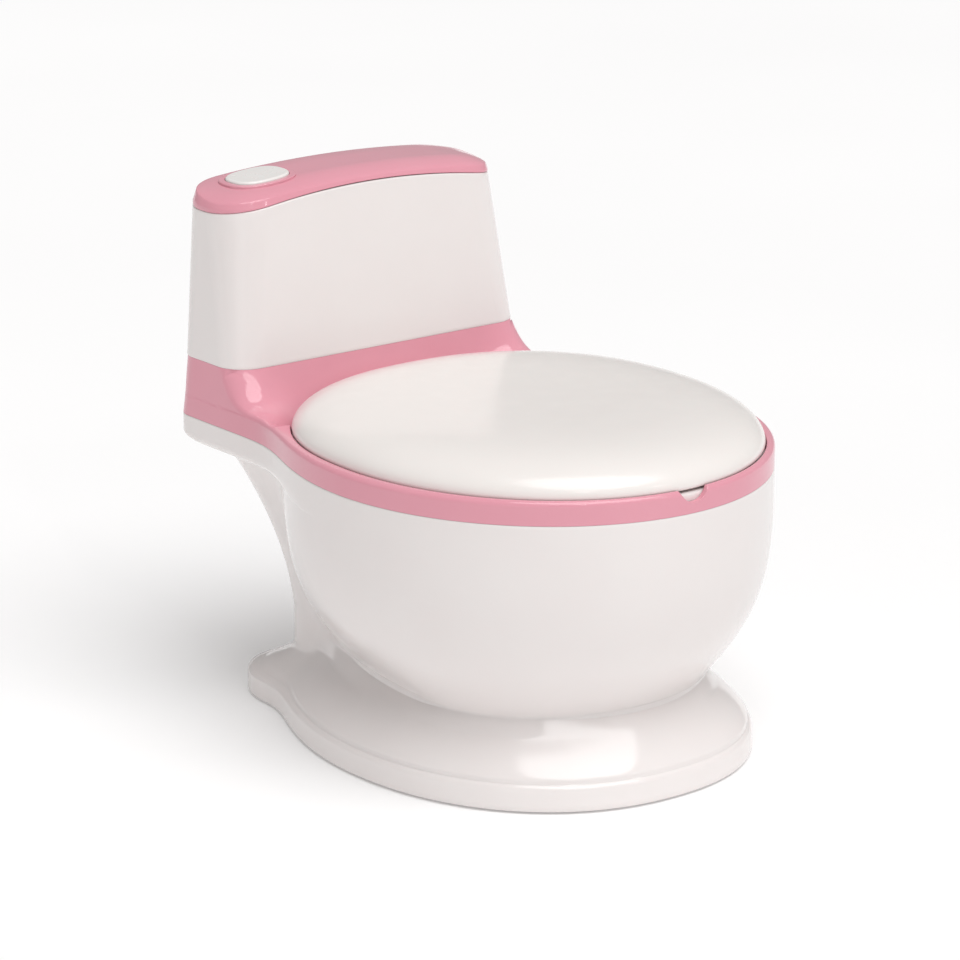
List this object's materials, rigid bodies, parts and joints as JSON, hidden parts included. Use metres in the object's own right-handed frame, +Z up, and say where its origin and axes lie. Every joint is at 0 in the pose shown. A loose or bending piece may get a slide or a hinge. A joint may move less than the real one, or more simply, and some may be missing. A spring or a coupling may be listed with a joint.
{
  "type": "potty training chair",
  "caption": "Toddler potty shaped like a small toilet, with domed lid, seat ring, lift-out pot, tank with lift-off lid and press button with a sound module.",
  "frame": {"origin": "on the floor, in the middle of the whole chair's box", "axes": "+Z up, -Y towards the front of the seat, +Y towards the tank, +X to the right seen from the front"},
  "size_m": [0.2906, 0.385, 0.3347],
  "materials": {
    "white_shell": "polished moulded polypropylene",
    "pink_shell": "polished moulded polypropylene",
    "warm_white": "polished moulded polypropylene",
    "rubber_grey": "matte",
    "steel": "zinc plated",
    "board_green": "solder mask",
    "black_plastic": "moulded",
    "cone_paper": "paper",
    "cell_wrap": "plain printed sleeve",
    "contact_brass": "plated"
  },
  "bodies": {
    "chair": {"body_shell": "white_shell", "foot_pads": "rubber_grey", "seat_deck": "pink_shell", "hinge_pins": "steel", "deck_screws": "steel", "seat_ring": "warm_white", "inner_pot": "warm_white", "tank_shell": "white_shell", "tank_screws": "steel"},
    "lid": {"lid_dome": "warm_white", "lid_liner": "warm_white", "lid_bumpers": "rubber_grey"},
    "tank_cover": {"tank_lid": "pink_shell", "button_bezel": "pink_shell", "sound_case": "warm_white", "case_screws": "steel", "circuit_board": "board_green", "push_switch": "black_plastic", "sound_chip": "black_plastic", "speaker_frame": "black_plastic", "speaker_cone": "cone_paper", "battery_cells": "cell_wrap", "battery_contacts": "contact_brass", "battery_door": "warm_white", "battery_door_screw": "steel"},
    "button": {"flush_button": "warm_white", "button_spring": "steel"}
  },
  "joints": [
    {"name": "lid_hinge", "type": "hinge", "parent": "chair", "child": "lid", "pos_m": [0, 0.084, 0.1928], "axis": [-1, 0, 0], "range_deg": [0, 95]},
    {"name": "tank_cover_lift", "type": "slide", "parent": "chair", "child": "tank_cover", "axis": [0, 0, 1], "range_m": [0, 0.08]},
    {"name": "button_press", "type": "slide", "parent": "tank_cover", "child": "button", "axis": [0, 0, -1], "range_m": [0, 0.0025], "stiffness_N_per_m": 400, "springref_m": -0.002, "deforming": ["button_spring"]}
  ]
}
